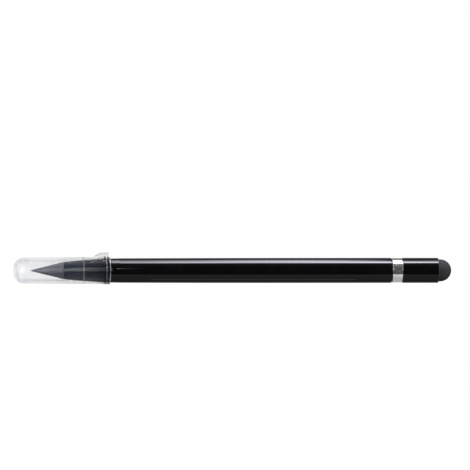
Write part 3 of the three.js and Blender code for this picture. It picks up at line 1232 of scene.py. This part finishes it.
    def on_patch(self, face: BMFace, foot: float, back: float) -> bool:
        """Tells whether a face of the outer wall lies under the lug.

        Args:
            face: The face.
            foot: Front end of the lug.
            back: Its rear end.

        Returns:
            Whether it does.
        """
        middle = face.calc_center_median()
        reach = math.pi * 2.0 * (self.lug_half_steps + 0.01) / Fineness.WHOLE.value
        return (face.normal.z > 0.5 and foot < middle.x < back and abs(math.atan2(middle.y, middle.z)) < reach
                and math.hypot(middle.y, middle.z) > self.outside_over)

    def lift(self, bm: BMesh, row: List[BMVert], station: float) -> None:
        """Lifts and flattens one row of the lug's top.

        Args:
            bm: The cap.
            row: The row's vertices, still on the wall.
            station: Its distance behind the nose.
        """
        crown = max(v.co.z for v in row)
        rise, flat = self.lug_top(station)
        bmesh.ops.scale(bm, verts=row, vec=(1.0, 1.0, 1.0 - flat),
                        space=Matrix.Translation((0.0, 0.0, -crown)))
        if rise > 0.0:
            bmesh.ops.translate(bm, verts=row, vec=(0.0, 0.0, rise + self.wall_radius(station) - crown))

    def upper_edges(self, bm: BMesh, start: float, end: float) -> List[BMEdge]:
        """Finds the edges of the lug's top: its two sides and its rear.

        Args:
            bm: The cap with its lug.
            start: Where the rounding begins, behind the foot.
            end: The lug's rear face.

        Returns:
            The edges.
        """
        def on_top(edge: BMEdge) -> bool:
            """Tells whether an edge is one of them.

            Args:
                edge: The edge.

            Returns:
                Whether it is.
            """
            if len(edge.link_faces) != 2 or edge.calc_face_angle() < self.lug_edge_angle:
                return False
            a, b = (v.co for v in edge.verts)
            high = min(a.z, b.z) > self.mouth_radius + self.lug_edge_over
            inside = start - TOLERANCE < min(a.x, b.x) and max(a.x, b.x) < end + TOLERANCE
            return high and inside and abs((b - a).normalized().z) < self.lug_edge_upright

        return [e for e in bm.edges if on_top(e)]

    def build(self) -> None:
        """Makes the shell and raises its lug."""
        bm = self.shell()
        self.raise_lug(bm)
        Piece("clear_cap", Body.CAP, "cap", "clear_plastic", 40.0).make(bm, self.place, self.plastic)


@dataclass
class InnerParts:
    """The bush, the plug and the seat, which stay as the CAD model has them."""

    brass: Material
    moulding: Material

    def dress(self) -> None:
        """Gives each kept node its material."""
        finishes = {"nose_bush": self.brass, "joint_plug": self.moulding, "stylus_seat": self.moulding}
        for name, finish in finishes.items():
            node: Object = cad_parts[name]
            node.data.materials.clear()
            node.data.materials.append(finish)
            LOG.info("%s: kept from the CAD model, dressed with %s", name, finish.name)


# Stage, in metres

# Strengths round the pen, by degrees from the camera's horizon up and over it
FRONT_BAND = ((69.8, 0.0), (74.2, 1.0), (85.2, 1.0), (89.4, 0.5), (95.0, 0.0))
BACK_BAND = ((82.4, 0.0), (90.4, 0.7), (96.4, 1.0), (101.4, 0.75), (107.4, 0.36), (112.4, 0.15),
             (118.4, 0.04), (128.0, 0.008))
FAR_BAND = ((99.0, 0.0), (106.0, 1.0), (114.0, 0.6), (120.0, 0.0))
SURROUNDINGS = ((0.0, 0.11), (8.0, 0.09), (15.0, 0.12), (36.0, 0.13), (48.0, 0.24), (60.0, 0.40), (70.0, 0.8),
                (104.0, 0.8), (120.0, 0.52), (136.0, 0.36), (152.0, 0.18), (165.0, 0.23), (177.0, 0.6))

# Strengths along the pen, by the share of the way from a light's left end to its right one
FRONT_ALONG = ((0.0, 0.31), (0.134, 0.35), (0.191, 0.42), (0.306, 0.46), (0.45, 0.46), (0.594, 0.54),
               (0.709, 0.62), (0.796, 0.74), (0.839, 0.76), (0.911, 0.67), (0.968, 0.61))
BACK_ALONG = ((0.0, 0.18), (0.134, 0.19), (0.191, 0.21), (0.306, 0.25), (0.45, 0.36), (0.594, 0.38),
              (0.709, 0.29), (0.796, 0.13), (0.839, 0.05), (0.911, 0.04), (0.968, 0.06))
FAR_ALONG = ((0.594, 0.02), (0.709, 0.04), (0.796, 0.06), (0.839, 0.04), (0.911, 0.02), (1.0, 0.02))
SLOT_ALONG = ((0.0, 1.6), (0.13, 1.4), (0.48, 0.72), (0.87, 0.24), (0.94, 0.04), (1.0, 0.0))
CAP_PANEL_ALONG = ((0.0, 1.0), (0.09, 1.0), (0.27, 0.7), (0.49, 0.7), (0.73, 0.3), (0.86, 0.21), (1.0, 0.18))
EVEN = ((0.0, 1.0), (1.0, 1.0))


def in_turns(stops: Iterable[Span]) -> List[Span]:
    """Converts stops in degrees, from the camera's horizon over the pen, to shares of a half turn."""
    return [(degrees / 180.0, level) for degrees, level in stops]


@dataclass(frozen=True)
class Bank:
    """A light bank over the pen: its distance from the axis, its ends, and where its strength changes."""

    name: str
    radius: float
    ends: Span
    levels: Span


@dataclass(frozen=True)
class FloorCard:
    """A dim card on the floor: its front and rear edge from the pen's axis, its ends, and its strength."""

    name: str
    across: Span
    along: Span
    level: float


@dataclass(frozen=True)
class Window:
    """A bright upright card before the pen: its distance, its sides, its heights, and its strength."""

    name: str
    ahead: float
    along: Span
    heights: Span
    level: float
    stops: Stops = EVEN


RING = (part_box("tail_ring")[0].x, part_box("tail_ring")[1].x)
CARD_END = 0.3
BANKS = (Bank("light_bank", 0.5, (-0.0112, 0.35), (-0.0078, 0.1344)),
         Bank("near_light_bank", 0.04, (-0.0386, -0.0348), (-0.0355, 0.0058)))
# Floor cards that only gloss sees: painted shade of the floor, dimmer under and in front of the pen; beyond
# them a dark flag, and a card brighter than the floor under the cap
FLOOR_CARDS = (FloorCard("dark_flag", (-0.6, -0.0078), (-1.5, 1.5), 0.11),
               FloorCard("shade_far", (-0.0078, -0.0046), (-CARD_END, CARD_END), 0.76),
               FloorCard("shade_near", (-0.0046, -0.00305), (-CARD_END, CARD_END), 0.56),
               FloorCard("end_shade_left", (-0.00305, -0.0023), (-CARD_END, -0.027), 0.5),
               FloorCard("end_shade_right", (-0.00305, -0.0023), (0.04, CARD_END), 0.45),
               FloorCard("dim_strip_left", (-0.0023, 0.03), (-CARD_END, RING[0]), 0.24),
               FloorCard("dim_strip_right", (-0.0023, 0.03), (RING[1], CARD_END), 0.24),
               FloorCard("ring_shade", (-0.00305, 0.03), RING, 0.55),
               FloorCard("cap_shade", (-0.03, -0.0078), (-0.08, -0.0475), 1.3))
WINDOWS = (Window("nose_window", 0.0102, (-0.0769, -0.06885), (0.0022, 0.0118), 48.0),
           Window("cap_panel", 0.040, (-0.0675, -0.0388), (0.0003, 0.0285), 9.0, CAP_PANEL_ALONG),
           Window("front_slot", 1.2, (0.0127, 0.0692), (0.3714, 0.4532), 7.0, SLOT_ALONG))


@dataclass
class Studio:
    """A plain pale floor in a plain studio: soft overhead light, and cards that show in gloss only."""

    place: Place
    floor_half: float = 3.0
    floor_tone: float = 0.5
    seen_tone: float = 0.12
    seen_glow: float = 0.94
    fill: float = 0.42
    fill_tint: Tint = (0.985, 0.99, 1.0)
    side_fade: Span = (0.42, 0.62)
    key_power: float = 9.0
    key_size: Span = (1.4, 1.0)
    key_at: Point = (0.0, -0.1, 1.0)
    bank_level: float = 44.0
    bank_tint: Tint = (1.0, 1.0, 1.13)
    bank_from: float = math.radians(62.0)
    bank_turn: float = math.radians(66.0)
    bank_steps: int = 24
    card_lift: float = 0.00005

    def card(self, name: str, bm: BMesh, finish: Material) -> None:
        """Makes a stage mesh that only glossy surfaces see.

        Args:
            name: The card's name.
            bm: Its shape. It is freed.
            finish: Its material.
        """
        made = link_mesh(name, bm, finish)
        made.visible_camera = False
        made.visible_diffuse = False
        made.visible_transmission = False
        made.visible_volume_scatter = False
        made.visible_shadow = False

    def glow(self, name: str, level: float) -> Tuple[Material, Sheet, Node]:
        """Starts an emissive stage material.

        Args:
            name: The material's name.
            level: Its plain strength.

        Returns:
            The material, its sheet and its Emission node.
        """
        made = bpy.data.materials.new(name)
        made.use_nodes = True
        sheet = Sheet(made.node_tree)
        light = sheet.node("ShaderNodeEmission", Strength=level)
        sheet.node("ShaderNodeOutputMaterial", Surface=light.outputs[0])
        return made, sheet, light

    def sheet_of(self, across: float, along: float) -> BMesh:
        """Makes a flat rectangle about the origin.

        Args:
            across: Its width in y.
            along: Its length in x.

        Returns:
            The rectangle.
        """
        bm = bmesh.new()
        bmesh.ops.create_grid(bm, x_segments=1, y_segments=1, size=0.5)
        bmesh.ops.scale(bm, verts=bm.verts[:], vec=(along, across, 1.0))
        return bm

    def floor(self) -> None:
        """Lays the floor: white to the eye, to gloss and to glass, with the object's shadow kept."""
        material = bpy.data.materials.new("pale_floor")
        material.use_nodes = True
        sheet = Sheet(material.node_tree)
        rays = sheet.node("ShaderNodeLightPath").outputs
        seen = sheet.math("MAXIMUM", rays["Is Camera Ray"],
                          sheet.math("MAXIMUM", rays["Is Glossy Ray"], rays["Is Transmission Ray"]))
        plain = sheet.node("ShaderNodeBsdfDiffuse", Color=grey(self.floor_tone))
        soft = sheet.node("ShaderNodeBsdfDiffuse", Color=grey(self.seen_tone))
        light = sheet.node("ShaderNodeEmission", Color=grey(1.0), Strength=self.seen_glow)
        both = sheet.node("ShaderNodeAddShader")
        sheet.feed(both.inputs[0], soft.outputs[0])
        sheet.feed(both.inputs[1], light.outputs[0])
        sheet.node("ShaderNodeOutputMaterial", Surface=sheet.either(seen, plain, both).outputs[0])
        link_mesh("floor", self.sheet_of(2.0 * self.floor_half, 2.0 * self.floor_half), material)

    def world(self) -> None:
        """Makes the surroundings: white to eye and glass, a dim front to gloss, an even fill to the rest."""
        world = bpy.data.worlds.new("studio")
        world.use_nodes = True
        world.cycles.sampling_method = "NONE"
        bpy.context.scene.world = world
        sheet = Sheet(world.node_tree)
        x, y, z = sheet.split(sheet.coordinates("Generated"))
        sideways = sheet.span(sheet.math("ABSOLUTE", x), *self.side_fade)
        front = sheet.ramp(self.turn(sheet, y, z), in_turns(SURROUNDINGS))
        round_about = sheet.mix(sideways, front, grey(1.0))
        rays = sheet.node("ShaderNodeLightPath").outputs
        even = sheet.node("ShaderNodeBackground", Color=grey(1.0, self.fill_tint), Strength=self.fill)
        gloss = sheet.node("ShaderNodeBackground", Color=round_about, Strength=1.0)
        white = sheet.node("ShaderNodeBackground", Color=grey(1.0), Strength=1.0)
        unseen = sheet.either(rays["Is Glossy Ray"], even, gloss)
        seen = sheet.math("MAXIMUM", rays["Is Camera Ray"], rays["Is Transmission Ray"])
        sheet.node("ShaderNodeOutputWorld", Surface=sheet.either(seen, unseen, white).outputs[0])

    def turn(self, sheet: Sheet, y: NodeSocket, up: NodeSocket) -> NodeSocket:
        """Measures a direction round the pen.

        Args:
            sheet: The sheet that it is measured on.
            y: Its distance behind the pen's axis.
            up: Its distance over the axis.

        Returns:
            The share of a half turn, from the camera's horizon over the pen to the far one.
        """
        angle = sheet.math("ARCTAN2", up, sheet.times(y, -1.0))
        return sheet.math("DIVIDE", angle, math.pi, clamp=True)

    def hang(self, bank: Bank) -> None:
        """Hangs a light bank over the pen, brightest at its front edge and dimmer towards the cap.

        Args:
            bank: The bank.
        """
        material, sheet, light = self.glow(bank.name, self.bank_level)
        x, y, z = sheet.split(sheet.coordinates("Object"))
        turn = self.turn(sheet, y, sheet.math("SUBTRACT", z, self.place.height))
        along = sheet.span(x, *bank.levels, kind="LINEAR")
        front, back, far = (sheet.times(sheet.ramp(turn, in_turns(band)), sheet.ramp(along, strengths))
                            for band, strengths in ((FRONT_BAND, FRONT_ALONG), (BACK_BAND, BACK_ALONG),
                                                    (FAR_BAND, FAR_ALONG)))
        bands = sheet.math("ADD", sheet.math("ADD", front, back), far)
        sheet.feed(light.inputs["Color"], grey(1.0, self.bank_tint))
        sheet.feed(light.inputs["Strength"], sheet.times(bands, self.bank_level))
        bm = bmesh.new()
        axis_point = Vector((0.0, 0.0, self.place.height))
        reach = Vector((0.0, -math.cos(self.bank_from), math.sin(self.bank_from))) * bank.radius
        corners = [bm.verts.new(AXIS * x_end + axis_point + reach) for x_end in bank.ends]
        bmesh.ops.spin(bm, geom=[bm.edges.new(corners)] + corners, cent=axis_point, axis=AXIS,
                       angle=-self.bank_turn, steps=self.bank_steps, use_duplicate=False)
        self.card(bank.name, bm, material)

    def lay(self, card: FloorCard) -> None:
        """Lays a dim card on the floor, which only gloss sees.

        Args:
            card: The card.
        """
        bm = self.sheet_of(card.across[1] - card.across[0], card.along[1] - card.along[0])
        middle = (sum(card.along) / 2.0, sum(card.across) / 2.0, self.card_lift)
        bmesh.ops.translate(bm, verts=bm.verts[:], vec=middle)
        self.card(card.name, bm, self.glow(card.name, card.level)[0])

    def stand(self, window: Window) -> None:
        """Stands a bright upright card before the pen.

        Args:
            window: The card, with shares of its strength from its left side to its right one.
        """
        bm = self.sheet_of(window.heights[1] - window.heights[0], window.along[1] - window.along[0])
        upright = Matrix.Rotation(math.pi / 2.0, 3, "X")
        bmesh.ops.rotate(bm, verts=bm.verts[:], cent=(0.0, 0.0, 0.0), matrix=upright)
        middle = (sum(window.along) / 2.0, -window.ahead, sum(window.heights) / 2.0)
        bmesh.ops.translate(bm, verts=bm.verts[:], vec=middle)
        material, sheet, light = self.glow(window.name, window.level)
        share = sheet.span(sheet.split(sheet.coordinates("Object"))[0], *window.along, kind="LINEAR")
        sheet.feed(light.inputs["Strength"], sheet.times(sheet.ramp(share, window.stops), window.level))
        self.card(window.name, bm, material)

    def key(self) -> None:
        """Hangs the soft overhead lamp that lights matt surfaces and casts the shadow."""
        lamp = bpy.data.lights.new("overhead_lamp", "AREA")
        lamp.shape = "RECTANGLE"
        lamp.size, lamp.size_y = self.key_size
        lamp.energy = self.key_power
        made = bpy.data.objects.new("overhead_lamp", lamp)
        made.location = self.key_at
        made.visible_glossy = False
        made.visible_transmission = False
        made.visible_camera = False
        bpy.context.scene.collection.objects.link(made)

    def build(self) -> None:
        """Sets up floor, surroundings, lamp and cards."""
        self.floor()
        self.world()
        self.key()
        for bank in BANKS:
            self.hang(bank)
        for card in FLOOR_CARDS:
            self.lay(card)
        for window in WINDOWS:
            self.stand(window)
        LOG.info("studio: floor, surroundings, lamp and cards")


@dataclass
class PhotoCamera:
    """The camera at the photograph's angle and distance."""

    place: Place
    aim: float = 0.00065
    distance: float = 2.0
    turn: float = math.radians(5.6)
    rise: float = 0.011557
    focal: float = 470.3
    sensor: float = 36.0
    nearest: float = 0.01

    def build(self) -> None:
        """Makes the camera, looking level at the pen from a little to the left of its front."""
        data = bpy.data.cameras.new("photo_camera")
        data.sensor_width = self.sensor
        data.lens = self.focal
        data.clip_start = self.nearest
        camera = bpy.data.objects.new("photo_camera", data)
        camera.location = (self.aim - self.distance * math.sin(self.turn),
                           -self.distance * math.cos(self.turn), self.place.height + self.rise)
        camera.rotation_euler = (math.radians(90.0), 0.0, -self.turn)
        bpy.context.scene.collection.objects.link(camera)
        bpy.context.scene.camera = camera
        LOG.info("camera: %.0f mm lens, %.0f mm from the pen", self.focal, self.distance / MM)


def main() -> None:
    """Builds the finishes, the pen's pieces, the studio and the camera, in that order."""
    logging.basicConfig(level=logging.INFO, format="%(name)s: %(message)s")
    bpy.context.scene.view_settings.view_transform = "Standard"
    place = Place()
    effects = Effects()
    lacquer = GlossLacquer().material(effects, place)
    chrome = BrightChrome().material(effects, place)
    clear = ClearPlastic().material(effects, place)
    graphite = GraphiteComposite().material(effects, place)
    silicone = MattSilicone().material(effects, place)
    turned_steel = MachinedMetal("turned_steel", light=(0.62, 0.62, 0.63, 1.0), dark=(0.42, 0.42, 0.44, 1.0))
    turned_brass = MachinedMetal("turned_brass", light=(0.66, 0.46, 0.18, 1.0), dark=(0.45, 0.29, 0.10, 1.0))
    steel = turned_steel.material(effects, place)
    brass = turned_brass.material(effects, place)
    moulding = InnerMoulding().material(effects, place)

    writing_end = WritingEnd(place, graphite, steel)
    writing_end.nib()
    writing_end.stud()
    Barrel(place, lacquer).build()
    tail = TailEnd(place, chrome, lacquer, silicone)
    tail.ring()
    tail.sleeve()
    tail.dome()
    Cap(place, clear).build()
    InnerParts(brass, moulding).dress()
    Studio(place).build()
    PhotoCamera(place).build()


if __name__ == "__main__":
    main()
